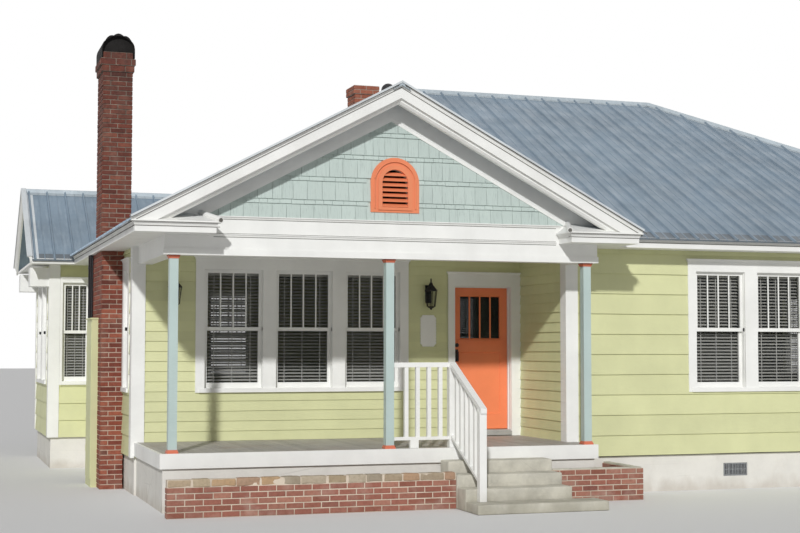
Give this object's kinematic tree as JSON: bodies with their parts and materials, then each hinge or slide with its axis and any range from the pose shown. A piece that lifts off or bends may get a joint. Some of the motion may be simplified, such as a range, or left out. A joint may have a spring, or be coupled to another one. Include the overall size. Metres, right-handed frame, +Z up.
{
  "type": "bungalow",
  "caption": "One-storey bungalow with hipped metal roof, gabled corner porch, side chimney and opening front door",
  "frame": {"origin": "middle of the whole building's outline at ground level", "axes": "+X to the right along the front, +Y from the front to the back, +Z up"},
  "size_m": [15.69, 11.965, 6.3603],
  "materials": {
    "siding": "pale yellow-green painted lap boards, satin",
    "foundation": null,
    "grille": "grey painted ventilation grille",
    "floorboards": "plain indoor boards",
    "deck": "grey painted porch boards, worn",
    "white_trim": "white painted trim, satin",
    "concrete": null,
    "brick": null,
    "bed_stone": null,
    "door_paint": "salmon-orange paint, semi-gloss",
    "glass": "clear window glass",
    "black_metal": "black painted metal",
    "post_paint": "blue-grey paint, satin",
    "roof_metal": "blue-grey ribbed metal, satin",
    "ridge_metal": "pale blue-grey folded metal",
    "shingles": "pale blue-green painted shingles"
  },
  "bodies": {
    "house": {"porch_back_wall": "siding", "wall_over_door": "siding", "wall_beside_door": "siding", "wall_under_door": "siding", "porch_side_wall": "siding", "front_wall": "siding", "right_wall": "siding", "rear_wall": "siding", "left_wall": "siding", "wing_walls": "siding", "side_box": "siding", "foundation": "foundation", "porch_base": "foundation", "foundation_vents": "grille", "floor": "floorboards", "porch_floor": "deck", "porch_rim": "white_trim", "door_frame": "white_trim", "front_windows": "white_trim", "other_windows": "white_trim", "corner_boards": "white_trim", "porch_beam": "white_trim", "ceiling_soffit": "white_trim", "fascia_boards": "white_trim", "rake_boards": "white_trim", "eave_returns": "white_trim", "porch_railing": "white_trim", "stair_railing": "white_trim", "wall_plaque": "white_trim", "step_upper": "concrete", "step_middle": "concrete", "step_lower": "concrete", "step_slab": "concrete", "planter_wall": "brick", "side_chimney": "brick", "small_chimney": "brick", "flower_bed_wall": "bed_stone", "post_trim": "door_paint", "gable_vent": "door_paint", "window_glass": "glass", "door_threshold": "black_metal", "chimney_cap": "black_metal", "roof_vent": "black_metal", "wall_lanterns": "black_metal", "downpipe": "black_metal", "porch_posts": "post_paint", "main_roof": "roof_metal", "porch_gable_roof": "roof_metal", "wing_roof": "roof_metal", "ridge_caps": "ridge_metal", "front_gable_wall": "shingles"},
    "door": {"front_door": "door_paint", "door_glass": "glass", "door_lock": "black_metal"}
  },
  "joints": [
    {"name": "front_door_hinge", "type": "hinge", "parent": "house", "child": "door", "pos_m": [-1.358, -2.3155, 1.8], "axis": [0, 0, -1], "range_deg": [0, 90]}
  ]
}
